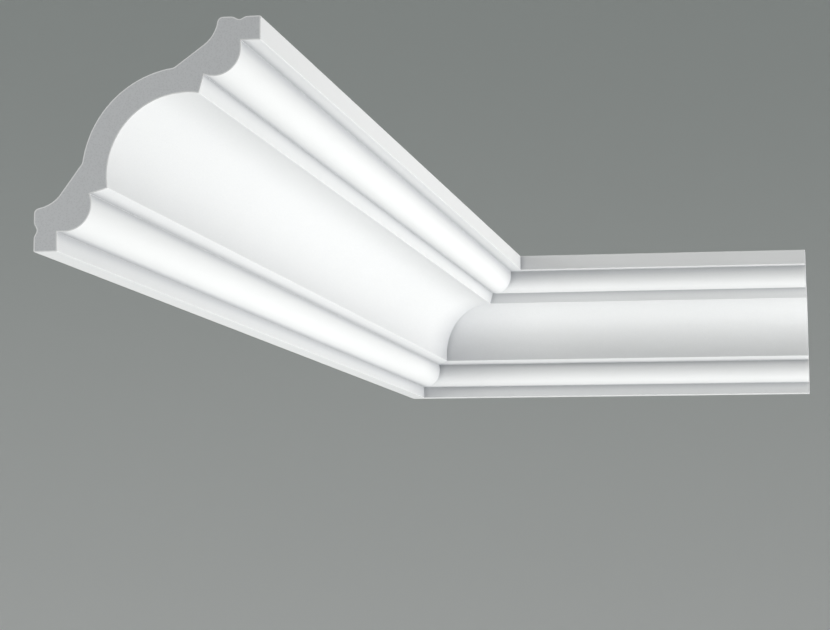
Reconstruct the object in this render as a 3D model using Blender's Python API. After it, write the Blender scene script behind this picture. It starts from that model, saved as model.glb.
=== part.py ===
"""Corner of a cove cornice: two lengths of one moulding, mitred where two walls meet.

Metres, +Z up. The long run lies along the left wall and ends in a square cut towards
the viewer. The short run lies along the back wall and ends in a square cut on the right.
Both have the same section, the same against the wall and the ceiling, so its two halves
mirror each other across the line at 45 degrees.

The origin is on the long run's wall pad, halfway along the run and in the middle of the
flat land below the glue groove. +X points out of that wall into the room, and +Y along
the run towards the corner of the room.

Section coordinates are (out, down): out from the wall, and down from the ceiling. An
angle in the section is measured from out, towards up.
"""

import math

import bmesh
import bpy
from mathutils import Vector

# Whole moulding
SECTION_SIZE = 0.125            # out from the wall, and the same down from the ceiling
LONG_RUN_LENGTH = 1.160         # along the left wall, from the corner of the room
SHORT_RUN_LENGTH = 0.390        # along the back wall, from the corner of the room
MITRE_GAP = 0.0003              # between the two mitred faces

# Room side of the section
STRIP_THICKNESS = 0.0131        # of the flat edge strip, out from the wall
STRIP_FACE = 0.0107             # height of the strip's face
QUIRK_WIDTH = 0.0040            # flat between the strip's face and the ovolo
OVOLO_RADIUS = 0.0150
OVOLO_PAST_WIDEST = math.radians(20.5)
STEP_WIDTH = 0.0099             # slanted step between the ovolo and the cove
STEP_SLOPE = math.radians(16.1)
COVE_PAST_LEVEL = math.radians(9.1)     # how far the cove's lower end runs below its centre

# Back of the section
COVE_WALL = 0.0142              # thickness behind the cove
KNEE_ABOVE_LEVEL = math.radians(7.0)    # where the shoulder meets the back of the cove
KNEE_ROUND = 0.0040
SHOULDER_ROUND = 0.0185
SHELF_RUN = 0.0103              # top of the pad, before it turns up the shoulder
SHELF_SLOPE = math.radians(10)
PAD_HEIGHT = 0.0234             # flat that is glued to the wall
PAD_ROUND = 0.0032

# Glue groove in the middle of each pad
GROOVE_WIDTH = 0.0088
GROOVE_DEPTH = 0.0016

# Fineness of the curves
ARC_STEP = math.radians(3)
GROOVE_STEPS = 12
SMOOTH_UNDER = math.radians(30)

# Finish
PRIMER_WHITE = (0.86, 0.86, 0.85, 1.0)
PRIMER_ROUGHNESS = 0.6
CORE_GREY = (0.42, 0.43, 0.44, 1.0)
CORE_ROUGHNESS = 0.85


def heading(angle):
    """Unit vector at an angle in the section."""
    return Vector((math.cos(angle), -math.sin(angle)))


def angle_of(vector):
    """Angle of a vector in the section, from 0 up to a full turn."""
    return math.atan2(-vector.y, vector.x) % (2 * math.pi)


def arc(centre, radius, first, last):
    """Points of an arc between two angles."""
    steps = max(2, math.ceil(abs(last - first) / ARC_STEP))
    return [centre + heading(first + (last - first) * i / steps) * radius for i in range(steps + 1)]


def corner_setback(turn, radius):
    """Length that a round takes from each side of a corner."""
    return radius * math.tan(abs(turn) / 2)


def rounded_corner(corner, angle_in, angle_out, radius, straight):
    """Arc that rounds a corner, no larger than the straight before the corner allows."""
    turn = angle_out - angle_in
    radius *= min(1.0, straight / corner_setback(turn, radius))
    side = math.copysign(math.pi / 2, turn)
    start = corner - heading(angle_in) * corner_setback(turn, radius)
    centre = start + heading(angle_in + side) * radius
    return arc(centre, radius, angle_in - side, angle_out - side)


def line_to_circle_round(start, angle, centre, circle_radius, radius):
    """Arc that leads from a line into a circle, and touches both from outside."""
    offset_start = start + heading(angle + math.pi / 2) * radius
    reach = offset_start - centre
    along = reach.dot(heading(angle))
    room = along ** 2 - reach.length_squared + (circle_radius + radius) ** 2
    middle = offset_start - heading(angle) * (along + math.sqrt(room))
    first = angle - math.pi / 2
    turn = (angle_of(centre - middle) - first) % (2 * math.pi)
    return arc(middle, radius, first, first + turn)


def ovolo():
    """Quarter round between the edge strip and the step, with its underside level."""
    centre = Vector((STRIP_THICKNESS + QUIRK_WIDTH, SECTION_SIZE - STRIP_FACE - OVOLO_RADIUS))
    return arc(centre, OVOLO_RADIUS, -math.pi / 2, OVOLO_PAST_WIDEST)


def cove_circle():
    """Centre and radius of the cove, which runs from the step's top to its mirror image."""
    step_top = ovolo()[-1] + heading(STEP_SLOPE) * (STEP_WIDTH / math.cos(STEP_SLOPE))
    span = step_top.y - step_top.x
    radius = span / (math.cos(COVE_PAST_LEVEL) + math.sin(COVE_PAST_LEVEL))
    centre = step_top.x + radius * math.cos(COVE_PAST_LEVEL)
    return Vector((centre, centre)), radius


def front_half():
    """Room side, from the lower edge at the wall to the middle of the cove."""
    edge_strip = [
        Vector((0.0, SECTION_SIZE)),
        Vector((STRIP_THICKNESS, SECTION_SIZE)),
        Vector((STRIP_THICKNESS, SECTION_SIZE - STRIP_FACE)),
    ]
    centre, radius = cove_circle()
    cove = arc(centre, radius, math.pi + COVE_PAST_LEVEL, math.radians(135))
    return edge_strip + ovolo() + cove


def glue_groove():
    """Soft hollow across the wall pad, from the lower lip to the upper one."""
    points = []
    for i in range(GROOVE_STEPS + 1):
        share = i / GROOVE_STEPS
        depth = GROOVE_DEPTH * (1 - math.cos(2 * math.pi * share)) / 2
        above_edge = PAD_HEIGHT / 2 + GROOVE_WIDTH * (share - 0.5)
        points.append(Vector((depth, SECTION_SIZE - above_edge)))
    return points


def back_half():
    """Wall side, from the lower edge up the pad and shoulder to behind the cove's middle."""
    centre, cove_radius = cove_circle()
    back_radius = cove_radius + COVE_WALL
    pad_top = Vector((0.0, SECTION_SIZE - PAD_HEIGHT))
    shelf = heading(SHELF_SLOPE) * (SHELF_RUN / math.cos(SHELF_SLOPE))
    shelf_end = pad_top + shelf
    knee = centre + heading(math.pi - KNEE_ABOVE_LEVEL) * back_radius
    shoulder_slope = angle_of(knee - shelf_end)

    land = (PAD_HEIGHT - GROOVE_WIDTH) / 2
    pad_round = rounded_corner(pad_top, math.pi / 2, SHELF_SLOPE, PAD_ROUND, land)
    shelf_left = (shelf_end - pad_round[-1]).length
    shoulder = rounded_corner(shelf_end, SHELF_SLOPE, shoulder_slope, SHOULDER_ROUND, shelf_left)
    knee_round = line_to_circle_round(shelf_end, shoulder_slope, centre, back_radius, KNEE_ROUND)
    behind_cove = arc(centre, back_radius, angle_of(knee_round[-1] - centre), math.radians(135))
    edge = [Vector((0.0, SECTION_SIZE))]
    return edge + glue_groove() + pad_round + shoulder + knee_round + behind_cove[1:]


def mirrored(points):
    """The same points across the line at 45 degrees."""
    return [Vector((point.y, point.x)) for point in points]


def section_outline():
    """Whole section, once round from the lower edge at the wall."""
    front = front_half()
    back = back_half()
    upper_front = mirrored(reversed(front))
    upper_back = mirrored(back)
    return front + upper_front[1:] + upper_back[1:] + list(reversed(back))[1:-1]


def finish(name, colour, roughness):
    """Material with one Principled BSDF."""
    material = bpy.data.materials.new(name)
    material.use_nodes = True
    shader = material.node_tree.nodes["Principled BSDF"]
    shader.inputs["Base Color"].default_value = colour
    shader.inputs["Roughness"].default_value = roughness
    shader.inputs["Metallic"].default_value = 0.0
    material.diffuse_color = colour
    return material


def sweep_section(bm, length):
    """Solid of the section's outline, swept along +Y from a square cut at y = 0."""
    corners = [bm.verts.new((point.x, 0.0, -point.y)) for point in section_outline()]
    section = bm.faces.new(corners)
    swept = bmesh.ops.extrude_face_region(bm, geom=[section])
    far_corners = [item for item in swept["geom"] if isinstance(item, bmesh.types.BMVert)]
    bmesh.ops.translate(bm, verts=far_corners, vec=(0.0, length, 0.0))


def cut_mitre(bm, corner_y, into_run):
    """Cut one end at 45 degrees, through the corner of the room at the wall.

    into_run is +1 where the run goes on along +Y from the corner, and -1 where it comes
    from -Y. The face stands back from the mitre's middle plane by half the gap.
    """
    outwards = Vector((1.0, -into_run, 0.0)).normalized()
    point = Vector((0.0, corner_y, 0.0)) - outwards * (MITRE_GAP / 2)
    everything = bm.verts[:] + bm.edges[:] + bm.faces[:]
    cut = bmesh.ops.bisect_plane(
        bm, geom=everything, dist=1e-7, plane_co=point, plane_no=outwards, clear_outer=True)
    rim = [item for item in cut["geom_cut"] if isinstance(item, bmesh.types.BMEdge)]
    bmesh.ops.contextual_create(bm, geom=rim)


def moulding_run(name, length, mitre_at_start):
    """One length of the moulding along +Y, mitred at one end and cut square at the other."""
    bm = bmesh.new()
    sweep_section(bm, length)
    if mitre_at_start:
        cut_mitre(bm, 0.0, 1)
    else:
        cut_mitre(bm, length, -1)
    bmesh.ops.recalc_face_normals(bm, faces=bm.faces[:])
    for face in bm.faces:
        cut_face = abs(face.normal.y) > 0.5
        face.material_index = 1 if cut_face else 0
        face.smooth = not cut_face
    mesh = bpy.data.meshes.new(name)
    bm.to_mesh(mesh)
    bm.free()
    mesh.materials.append(finish(name + "_primer", PRIMER_WHITE, PRIMER_ROUGHNESS))
    mesh.materials.append(finish(name + "_core", CORE_GREY, CORE_ROUGHNESS))
    mesh.set_sharp_from_angle(angle=SMOOTH_UNDER)
    run = bpy.data.objects.new(name, mesh)
    bpy.context.scene.collection.objects.link(run)
    return run


def room_corner():
    """Empty where the two walls and the ceiling meet, which both runs are placed from."""
    land_middle = (PAD_HEIGHT - GROOVE_WIDTH) / 4
    corner = bpy.data.objects.new("room_corner", None)
    corner.location = (0.0, LONG_RUN_LENGTH / 2, SECTION_SIZE - land_middle)
    bpy.context.scene.collection.objects.link(corner)
    return corner


def main():
    for item in list(bpy.data.objects):
        bpy.data.objects.remove(item, do_unlink=True)

    corner = room_corner()

    long_run = moulding_run("long_run", LONG_RUN_LENGTH, mitre_at_start=False)
    long_run.parent = corner
    long_run.location = (0.0, -LONG_RUN_LENGTH, 0.0)

    short_run = moulding_run("short_run", SHORT_RUN_LENGTH, mitre_at_start=True)
    short_run.parent = corner
    short_run.rotation_euler = (0.0, 0.0, -math.pi / 2)


main()
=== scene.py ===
"""Finish, studio and camera for a cove cornice corner: two mitred lengths of one moulding."""

import math

import bmesh
import bpy
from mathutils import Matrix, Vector


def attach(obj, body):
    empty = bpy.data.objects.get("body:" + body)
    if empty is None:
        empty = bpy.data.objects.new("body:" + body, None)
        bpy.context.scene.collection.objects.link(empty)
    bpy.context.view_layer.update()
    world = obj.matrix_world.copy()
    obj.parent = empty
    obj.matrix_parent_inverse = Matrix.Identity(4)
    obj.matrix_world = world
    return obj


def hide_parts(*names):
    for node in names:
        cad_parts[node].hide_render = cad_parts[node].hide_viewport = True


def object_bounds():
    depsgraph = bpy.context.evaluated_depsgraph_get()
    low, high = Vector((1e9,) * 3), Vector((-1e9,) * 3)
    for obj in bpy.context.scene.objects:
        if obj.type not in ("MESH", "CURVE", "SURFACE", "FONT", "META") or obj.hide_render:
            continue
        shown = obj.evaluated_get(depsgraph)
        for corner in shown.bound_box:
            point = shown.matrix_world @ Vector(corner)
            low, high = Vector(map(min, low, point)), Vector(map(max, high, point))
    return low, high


bl_info = {
    "name": "Cornice Corner Finish",
    "version": (1, 0, 0),
    "blender": (4, 5, 0),
    "location": "View3D > Sidebar > Cornice",
    "description": "Dresses two mitred lengths of cove cornice and sets them in a studio",
    "category": "Object",
}

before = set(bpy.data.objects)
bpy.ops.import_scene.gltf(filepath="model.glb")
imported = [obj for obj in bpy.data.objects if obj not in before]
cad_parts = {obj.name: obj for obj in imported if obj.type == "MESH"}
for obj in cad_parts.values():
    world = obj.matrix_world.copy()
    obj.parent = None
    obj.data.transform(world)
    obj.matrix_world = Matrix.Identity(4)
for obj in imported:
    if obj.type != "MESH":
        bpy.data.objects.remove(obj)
CAD_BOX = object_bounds()

# Metres in a millimetre, for pattern sizes
MM = 0.001

# How the runs lie: the unit vector along each run, away from the mitre
RUN_DIRECTIONS = {"long_run": Vector((0.0, -1.0, 0.0)), "short_run": Vector((1.0, 0.0, 0.0))}


def linear(hex_colour):
    """Linear red, green and blue of an sRGB hex colour."""
    values = [int(hex_colour[i:i + 2], 16) / 255 for i in (1, 3, 5)]
    return tuple(v / 12.92 if v <= 0.04045 else ((v + 0.055) / 1.055) ** 2.4 for v in values)


class CorniceFinish(bpy.types.PropertyGroup):
    """Sizes and colours of the moulding's finish."""

    arris: bpy.props.FloatProperty(
        name="Arris", description="Radius of the moulded edges and inside corners",
        default=0.4 * MM, min=0.1 * MM, max=1.5 * MM, unit="LENGTH", precision=5)
    skin: bpy.props.FloatProperty(
        name="Skin", description="Thickness of the white skin where a cut shows it",
        default=0.6 * MM, min=0.1 * MM, max=1.5 * MM, unit="LENGTH", precision=5)
    ring_spacing: bpy.props.FloatProperty(
        name="Ring spacing", description="Distance between the edge rings along a run",
        default=40 * MM, min=5 * MM, max=500 * MM, unit="LENGTH")
    primer: bpy.props.FloatVectorProperty(
        name="Primer", description="Colour of the white factory primer",
        default=linear("#E9E9E9"), min=0, max=1, size=3, subtype="COLOR")
    # Painted shade: the grey that the primer's colour is drawn towards deep in a hollow
    painted_hollow_shade: bpy.props.FloatVectorProperty(
        name="Painted hollow shade", description="Colour of the primer deep in a hollow",
        default=linear("#C2C3C5"), min=0, max=1, size=3, subtype="COLOR")
    # Painted shade: the grey that the primer's colour is drawn towards in the inside corners
    painted_corner_shade: bpy.props.FloatVectorProperty(
        name="Painted corner shade", description="Colour of the primer where it lies thin in a corner",
        default=linear("#A8AAAD"), min=0, max=1, size=3, subtype="COLOR")
    core: bpy.props.FloatVectorProperty(
        name="Core", description="Colour of the polymer core on a cut end",
        default=linear("#CBCCCE"), min=0, max=1, size=3, subtype="COLOR")


class CorniceStudio(bpy.types.PropertyGroup):
    """Sizes and colours of the studio."""

    floor_drop: bpy.props.FloatProperty(
        name="Floor drop", description="Height from the floor up to the moulding's lower edge",
        default=2.1, min=0.05, max=3, unit="LENGTH")
    floor_colour: bpy.props.FloatVectorProperty(
        name="Floor", description="Colour of the paper on the floor",
        default=linear("#B4B9B7"), min=0, max=1, size=3, subtype="COLOR")
    # Painted light: the colour of the soft glow painted low on the sweep
    painted_glow_colour: bpy.props.FloatVectorProperty(
        name="Glow", description="Colour of the paper where the floor turns up",
        default=linear("#F2F3F2"), min=0, max=1, size=3, subtype="COLOR")
    backdrop_colour: bpy.props.FloatVectorProperty(
        name="Backdrop", description="Colour of the paper high up on the sweep",
        default=linear("#C4C9C7"), min=0, max=1, size=3, subtype="COLOR")


def deselect_all():
    """Leave edit mode and deselect every object."""
    if bpy.context.object and bpy.context.object.mode != "OBJECT":
        bpy.ops.object.mode_set(mode="OBJECT")
    bpy.ops.object.select_all(action="DESELECT")


def edit(piece, part):
    """Open one piece in edit mode with nothing selected, and return its editable mesh.

    The part is what is picked there: VERT, EDGE or FACE.
    """
    deselect_all()
    piece.select_set(True)
    bpy.context.view_layer.objects.active = piece
    bpy.ops.object.mode_set(mode="EDIT")
    bpy.ops.mesh.select_mode(type=part)
    bpy.ops.mesh.select_all(action="DESELECT")
    return bmesh.from_edit_mesh(piece.data)


def pick(parts, wanted):
    """Select the parts of a mesh for which a test holds."""
    for part in parts:
        if wanted(part):
            part.select_set(True)


def runs_along(edge, along):
    """True for an edge that lies lengthwise in its run."""
    direction = (edge.verts[1].co - edge.verts[0].co).normalized()
    return abs(direction.dot(along)) > 0.999


def add_node(tree, kind, settings=None, links=None):
    """Add a node, set its properties and unlinked sockets, and link the others."""
    node = tree.nodes.new(kind)
    for name, value in (settings or {}).items():
        if isinstance(name, int) or name in node.inputs:
            node.inputs[name].default_value = value
        else:
            setattr(node, name, value)
    for name, source in (links or {}).items():
        tree.links.new(source, node.inputs[name])
    return node


def new_material(name):
    """Empty node material with its output, and the tree to fill."""
    material = bpy.data.materials.new(name)
    material.use_nodes = True
    tree = material.node_tree
    tree.nodes.clear()
    return material, tree


def rgba(colour, shade=1.0):
    """Colour with alpha, darker or lighter by a factor."""
    return tuple(min(1.0, c * shade) for c in colour) + (1.0,)


def matt_primer(settings):
    """White acrylic primer, sprayed in the factory on the moulded skin.

    It gives a dense, matt white with a faint orange peel that only shows close up, and painted
    shade that greys the cove and the inside corners.
    """
    material, tree = new_material("white_acrylic_primer")
    place = add_node(tree, "ShaderNodeTexCoord").outputs["Object"]
    # Passes of the spray gun leave faint clouds about 70 mm across
    cloud_size = 70 * MM
    clouds = add_node(
        tree, "ShaderNodeTexNoise", {"Scale": 1 / cloud_size, "Detail": 3.0}, {"Vector": place})
    tint = add_node(
        tree, "ShaderNodeMix",
        {"data_type": "RGBA", "A": rgba(settings.primer, 0.985), "B": rgba(settings.primer, 1.01)},
        {"Factor": clouds.outputs["Fac"]})
    # Painted shade: the colour greys the deeper the hollow, so the cove is a shade greyer
    hollow_shade_reach = 90 * MM
    hollow_occlusion = add_node(
        tree, "ShaderNodeAmbientOcclusion", {"samples": 8, "Distance": hollow_shade_reach})
    reach = add_node(
        tree, "ShaderNodeMapRange", {"From Min": 0.5, "From Max": 1.0},
        {"Value": hollow_occlusion.outputs["AO"]})
    coat = add_node(
        tree, "ShaderNodeMix", {"data_type": "RGBA", "A": rgba(settings.painted_hollow_shade)},
        {"Factor": reach.outputs["Result"], "B": tint.outputs["Result"]})
    # Painted shade, darkest in the inside corners
    corner_shade_reach = 6 * MM
    corners = add_node(
        tree, "ShaderNodeAmbientOcclusion", {"samples": 8, "Distance": corner_shade_reach})
    corner_shade_amount = add_node(
        tree, "ShaderNodeMapRange", {"From Min": 0.3, "From Max": 0.95},
        {"Value": corners.outputs["AO"]})
    colour = add_node(
        tree, "ShaderNodeMix", {"data_type": "RGBA", "A": rgba(settings.painted_corner_shade)},
        {"Factor": corner_shade_amount.outputs["Result"], "B": coat.outputs["Result"]})
    # Droplets of a spray coat level out to about 2.5 mm across
    droplet_size = 2.5 * MM
    peel = add_node(
        tree, "ShaderNodeTexNoise", {"Scale": 1 / droplet_size, "Detail": 2.0},
        {"Vector": place})
    gloss = add_node(
        tree, "ShaderNodeMapRange", {"To Min": 0.52, "To Max": 0.62},
        {"Value": peel.outputs["Fac"]})
    relief = add_node(
        tree, "ShaderNodeBump", {"Strength": 0.25, "Distance": 0.02 * MM},
        {"Height": peel.outputs["Fac"]})
    shader = add_node(
        tree, "ShaderNodeBsdfPrincipled", {"IOR": 1.49},
        {"Base Color": colour.outputs["Result"], "Roughness": gloss.outputs["Result"],
         "Normal": relief.outputs["Normal"]})
    add_node(tree, "ShaderNodeOutputMaterial", links={"Surface": shader.outputs["BSDF"]})
    return material


def sawn_core(settings):
    """Hard polymer foam, sawn across.

    It gives a flat light grey with the fine dark pores of cut cells and faint saw lines.
    """
    material, tree = new_material("sawn_polymer_core")
    place = add_node(tree, "ShaderNodeTexCoord").outputs["Object"]
    # Real cells are about 0.2 mm; they are drawn at 1.1 mm so that they show at all
    cell_size = 1.1 * MM
    cells = add_node(
        tree, "ShaderNodeTexVoronoi", {"Scale": 1 / cell_size}, {"Vector": place})
    pores = add_node(
        tree, "ShaderNodeMapRange", {"From Min": 0.15, "From Max": 0.55},
        {"Value": cells.outputs["Distance"]})
    # A fine-toothed mitre saw leaves lines about 1.5 mm apart, aslant over the cut
    line_spacing = 1.5 * MM
    turned = add_node(
        tree, "ShaderNodeMapping", {"Rotation": (0.6, 0.6, 0.0)}, {"Vector": place})
    # The bands of a wave texture lie pi / 10 metres apart at a scale of one
    unscaled_spacing = math.pi / 10
    lines = add_node(
        tree, "ShaderNodeTexWave",
        {"Scale": unscaled_spacing / line_spacing, "Distortion": 1.5, "Detail": 1.0,
         "Detail Scale": 0.1, "bands_direction": "Z"},
        {"Vector": turned.outputs["Vector"]})
    mottle = add_node(
        tree, "ShaderNodeMix",
        {"data_type": "RGBA", "A": rgba(settings.core, 0.93), "B": rgba(settings.core, 1.02)},
        {"Factor": pores.outputs["Result"]})
    height = add_node(
        tree, "ShaderNodeMath", {"operation": "MULTIPLY_ADD", 1: 0.4},
        {0: lines.outputs["Fac"], 2: pores.outputs["Result"]})
    relief = add_node(
        tree, "ShaderNodeBump", {"Strength": 0.35, "Distance": 0.05 * MM},
        {"Height": height.outputs["Value"]})
    shader = add_node(
        tree, "ShaderNodeBsdfPrincipled", {"IOR": 1.5, "Roughness": 0.88},
        {"Base Color": mottle.outputs["Result"], "Normal": relief.outputs["Normal"]})
    add_node(tree, "ShaderNodeOutputMaterial", links={"Surface": shader.outputs["BSDF"]})
    return material


# Heights over the floor at which the painted glow is palest, and the paper has its backdrop colour
GLOW_HEIGHT = 0.9
BACKDROP_HEIGHT = 4.5


def sweep_paper(settings, floor_height):
    """Seamless background paper, with painted light that makes it paler where the floor turns up.

    It gives a flat matt grey with a faint fibre and a painted soft glow low behind the part.
    """
    material, tree = new_material("seamless_paper")
    place = add_node(tree, "ShaderNodeTexCoord").outputs["Object"]
    height = add_node(tree, "ShaderNodeSeparateXYZ", links={"Vector": place}).outputs["Z"]
    turn = add_node(
        tree, "ShaderNodeMapRange",
        {"interpolation_type": "SMOOTHSTEP", "From Min": floor_height,
         "From Max": floor_height + GLOW_HEIGHT},
        {"Value": height})
    rise = add_node(
        tree, "ShaderNodeMapRange",
        {"interpolation_type": "SMOOTHSTEP", "From Min": floor_height + GLOW_HEIGHT,
         "From Max": floor_height + BACKDROP_HEIGHT},
        {"Value": height})
    # Painted light: paler up to the glow height, then greyer higher up
    low_tone = add_node(
        tree, "ShaderNodeMix",
        {"data_type": "RGBA", "A": rgba(settings.floor_colour), "B": rgba(settings.painted_glow_colour)},
        {"Factor": turn.outputs["Result"]})
    tone = add_node(
        tree, "ShaderNodeMix", {"data_type": "RGBA", "B": rgba(settings.backdrop_colour)},
        {"Factor": rise.outputs["Result"], "A": low_tone.outputs["Result"]})
    # Real fibres are about 1 mm long; they are drawn at 4 mm so that they show
    fibre_size = 4 * MM
    fibre = add_node(
        tree, "ShaderNodeTexNoise", {"Scale": 1 / fibre_size, "Detail": 4.0}, {"Vector": place})
    relief = add_node(
        tree, "ShaderNodeBump", {"Strength": 0.1, "Distance": 0.05 * MM},
        {"Height": fibre.outputs["Fac"]})
    shader = add_node(
        tree, "ShaderNodeBsdfPrincipled", {"IOR": 1.45, "Roughness": 0.9},
        {"Base Color": tone.outputs["Result"], "Normal": relief.outputs["Normal"]})
    add_node(tree, "ShaderNodeOutputMaterial", links={"Surface": shader.outputs["BSDF"]})
    return material


# Corners of the solids nearer than this are one, and faces flatter than this are one
SAME_CORNER = 0.001 * MM
SAME_FACE = math.radians(0.3)


def merged_copy(node, name):
    """Piece of its own from a node's solid, its loose triangles merged into whole faces."""
    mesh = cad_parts[node].data.copy()
    mesh.name = name
    mesh.materials.clear()
    piece = bpy.data.objects.new(name, mesh)
    bpy.context.scene.collection.objects.link(piece)
    edit(piece, "VERT")
    bpy.ops.mesh.select_all(action="SELECT")
    bpy.ops.mesh.customdata_custom_splitnormals_clear()
    bpy.ops.mesh.remove_doubles(threshold=SAME_CORNER)
    bpy.ops.mesh.dissolve_limited(angle_limit=SAME_FACE)
    bpy.ops.mesh.mark_sharp(clear=True)
    return piece


# The solids stand back from the middle of the mitre by 0.15 mm, square to the cut, which is
# 0.21 mm along the run; filler takes up all of it but a hairline
MITRE_FILL = 0.19 * MM


def close_mitre(piece, along):
    """Push the mitred face out towards the middle of the joint, where filler closes it."""
    pick(edit(piece, "FACE").faces, lambda face: 0.1 < abs(face.normal.dot(along)) < 0.9)
    bpy.ops.transform.translate(value=-along * MITRE_FILL)


def soften_arrises(piece, along, radius):
    """Round the moulded edges and inside corners, but not the sawn ones."""
    # Facets of the curves meet at less than this, and the edges of the moulding at more
    least_angle = math.radians(25)
    pick(
        edit(piece, "EDGE").edges,
        lambda edge: runs_along(edge, along) and edge.calc_face_angle(0.0) > least_angle)
    bpy.ops.mesh.bevel(offset=radius, segments=3, profile=0.5, clamp_overlap=True)


def ring_edges(piece, along, spacing):
    """Cut each lengthwise edge into even parts, so that rings run round the section."""
    edges = edit(piece, "EDGE").edges
    pick(edges, lambda edge: runs_along(edge, along))
    longest = max(edge.calc_length() for edge in edges if edge.select)
    bpy.ops.mesh.subdivide(number_cuts=round(longest / spacing), quadcorner="INNERVERT")


def lay_bare_core(piece, along, skin):
    """Inset the square cut by the skin's thickness, and give what is inside it the core."""
    pick(edit(piece, "FACE").faces, lambda face: face.normal.dot(along) > 0.99)
    bpy.ops.mesh.inset(thickness=skin, use_individual=True, use_even_offset=True)
    piece.active_material_index = 1
    bpy.ops.object.material_slot_assign()


def dress_run(node, name, settings):
    """Make the finished length of moulding that stands for one node."""
    along = RUN_DIRECTIONS[node]
    piece = merged_copy(node, name)
    bpy.ops.object.mode_set(mode="OBJECT")
    made = bpy.data.materials
    piece.data.materials.append(made.get("white_acrylic_primer") or matt_primer(settings))
    piece.data.materials.append(made.get("sawn_polymer_core") or sawn_core(settings))
    close_mitre(piece, along)
    lay_bare_core(piece, along, settings.skin)
    soften_arrises(piece, along, settings.arris)
    ring_edges(piece, along, settings.ring_spacing)
    bpy.ops.object.mode_set(mode="OBJECT")
    bpy.ops.object.shade_smooth_by_angle(angle=math.radians(40))
    flat_faces = piece.modifiers.new("flat_faces_stay_flat", "WEIGHTED_NORMAL")
    flat_faces.keep_sharp = True
    bpy.ops.object.modifier_apply(modifier=flat_faces.name)
    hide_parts(node)
    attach(piece, "root")


class CORNICE_OT_long_run(bpy.types.Operator):
    """Finish the long run, which ends in a square cut towards the viewer."""

    bl_idname = "cornice.long_run"
    bl_label = "Finish Long Run"

    def execute(self, context):
        dress_run("long_run", "long_run_finished", context.scene.cornice_finish)
        return {"FINISHED"}


class CORNICE_OT_short_run(bpy.types.Operator):
    """Finish the short run, which ends in a square cut on the right."""

    bl_idname = "cornice.short_run"
    bl_label = "Finish Short Run"

    def execute(self, context):
        dress_run("short_run", "short_run_finished", context.scene.cornice_finish)
        return {"FINISHED"}


# Round sweep of paper that surrounds the part on all sides: its flat floor, the radius of
# its turn, the steps that the turn is drawn in, and its height
FLOOR_RADIUS = 6.5
SWEEP_RADIUS = 2.0
SWEEP_STEPS = 12
SWEEP_HEIGHT = 7.0


def paper_sweep(settings):
    """Round floor that curves up all round, so that each view has the same backdrop."""
    low, high = CAD_BOX
    middle = (low + high) / 2
    floor_height = low.z - settings.floor_drop
    deselect_all()
    bpy.ops.mesh.primitive_circle_add(
        vertices=96, radius=FLOOR_RADIUS, fill_type="NGON",
        location=(middle.x, middle.y, floor_height))
    floor = bpy.context.object
    floor.name = "paper_sweep"
    bpy.ops.object.transform_apply(location=True)
    edit(floor, "EDGE")
    bpy.ops.mesh.select_all(action="SELECT")
    centre = Vector((middle.x, middle.y, floor_height))
    reach = FLOOR_RADIUS
    height = 0.0
    for i in range(1, SWEEP_STEPS + 1):
        turn = math.radians(90) * i / SWEEP_STEPS
        next_reach = FLOOR_RADIUS + SWEEP_RADIUS * math.sin(turn)
        next_height = SWEEP_RADIUS * (1 - math.cos(turn))
        bpy.ops.mesh.extrude_edges_move(
            TRANSFORM_OT_translate={"value": (0.0, 0.0, next_height - height)})
        grow = next_reach / reach
        bpy.ops.transform.resize(value=(grow, grow, 1.0), center_override=centre)
        reach = next_reach
        height = next_height
    bpy.ops.mesh.extrude_edges_move(
        TRANSFORM_OT_translate={"value": (0.0, 0.0, SWEEP_HEIGHT - height)})
    bpy.ops.mesh.select_all(action="SELECT")
    bpy.ops.mesh.normals_make_consistent(inside=True)
    bpy.ops.object.mode_set(mode="OBJECT")
    bpy.ops.object.shade_smooth()
    floor.data.materials.append(sweep_paper(settings, floor_height))


def soft_light(name, size, place, aim, power):
    """White rectangular softbox, hidden from the camera."""
    data = bpy.data.lights.new(name, "AREA")
    data.shape = "RECTANGLE"
    data.size, data.size_y = size
    data.energy = power
    light = bpy.data.objects.new(name, data)
    bpy.context.scene.collection.objects.link(light)
    light.location = place
    light.rotation_euler = (Vector(aim) - Vector(place)).to_track_quat("-Z", "Y").to_euler()
    light.visible_camera = False


def photo_camera():
    """Camera at the photograph's place, found from the corners of the section."""
    data = bpy.data.cameras.new("photo_camera")
    data.sensor_width = 36.0
    data.lens = 107.67
    data.clip_start = 0.01
    data.clip_end = 100.0
    camera = bpy.data.objects.new("photo_camera", data)
    bpy.context.scene.collection.objects.link(camera)
    camera.location = (0.4367, -1.8512, -0.1753)
    pitch_up = math.radians(5.911)
    turned_left = math.radians(10.153)
    camera.rotation_euler = (math.radians(90) + pitch_up, 0.0, turned_left)
    bpy.context.scene.camera = camera


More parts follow.
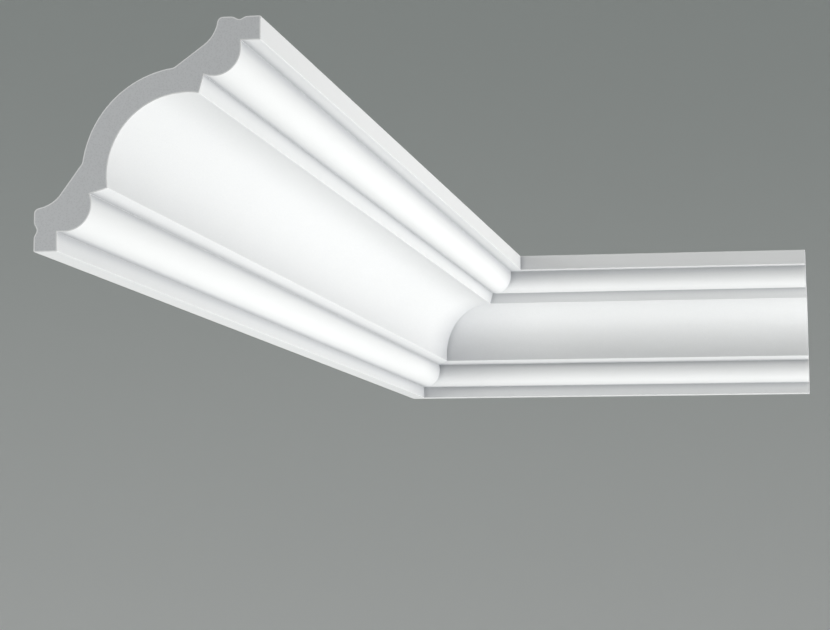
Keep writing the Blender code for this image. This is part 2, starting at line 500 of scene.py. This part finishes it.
class CORNICE_OT_studio(bpy.types.Operator):
    """Set the paper sweep, the soft lights and the camera."""

    bl_idname = "cornice.studio"
    bl_label = "Set Up Studio"

    def execute(self, context):
        paper_sweep(context.scene.cornice_studio)
        low, high = CAD_BOX
        middle = (low + high) / 2
        # Straight below, as from a lit floor: it whitens the undersides
        soft_light(
            "below_softbox", size=(2.2, 2.2), place=(0.2, 0.0, -1.9), aim=(0.2, 0.0, 0.0),
            power=34.3)
        # Level on the right: it lights the long run's front, but not the cut
        soft_light(
            "right_softbox", size=(1.0, 1.2), place=(2.2, 0.1, -0.25), aim=(0.1, 0.0, 0.05),
            power=37.3)
        # Level on the left: it lights the cut, and the long run shades the short one from it
        soft_light(
            "cut_softbox", size=(0.8, 0.8), place=(-1.3, -2.2, 0.06), aim=(0.06, -0.58, 0.06),
            power=22.7)
        # High overhead: it lights the top and the back, and the floor returns it from below
        soft_light(
            "overhead_softbox", size=(5.0, 5.0), place=(middle.x, middle.y, 6.6), aim=middle,
            power=300.0)
        world = bpy.data.worlds.new("studio_air")
        world.use_nodes = True
        air = world.node_tree.nodes["Background"]
        air.inputs["Color"].default_value = (1.0, 1.0, 1.0, 1.0)
        air.inputs["Strength"].default_value = 0.12
        context.scene.world = world
        context.scene.view_settings.view_transform = "Standard"
        photo_camera()
        return {"FINISHED"}


class CORNICE_PT_sidebar(bpy.types.Panel):
    """Finish and studio of the cornice corner."""

    bl_idname = "CORNICE_PT_sidebar"
    bl_label = "Cornice Corner"
    bl_space_type = "VIEW_3D"
    bl_region_type = "UI"
    bl_category = "Cornice"

    def draw(self, context):
        layout = self.layout
        for group in (context.scene.cornice_finish, context.scene.cornice_studio):
            box = layout.box()
            for name in group.__annotations__:
                box.prop(group, name)
        for operator in STEPS:
            layout.operator(operator.bl_idname)


STEPS = (CORNICE_OT_long_run, CORNICE_OT_short_run, CORNICE_OT_studio)
CLASSES = (CorniceFinish, CorniceStudio) + STEPS + (CORNICE_PT_sidebar,)


def register():
    for cls in CLASSES:
        bpy.utils.register_class(cls)
    bpy.types.Scene.cornice_finish = bpy.props.PointerProperty(type=CorniceFinish)
    bpy.types.Scene.cornice_studio = bpy.props.PointerProperty(type=CorniceStudio)


def unregister():
    del bpy.types.Scene.cornice_studio
    del bpy.types.Scene.cornice_finish
    for cls in reversed(CLASSES):
        bpy.utils.unregister_class(cls)


def main():
    register()
    bpy.ops.cornice.long_run()
    bpy.ops.cornice.short_run()
    bpy.ops.cornice.studio()


if __name__ == "__main__":
    main()
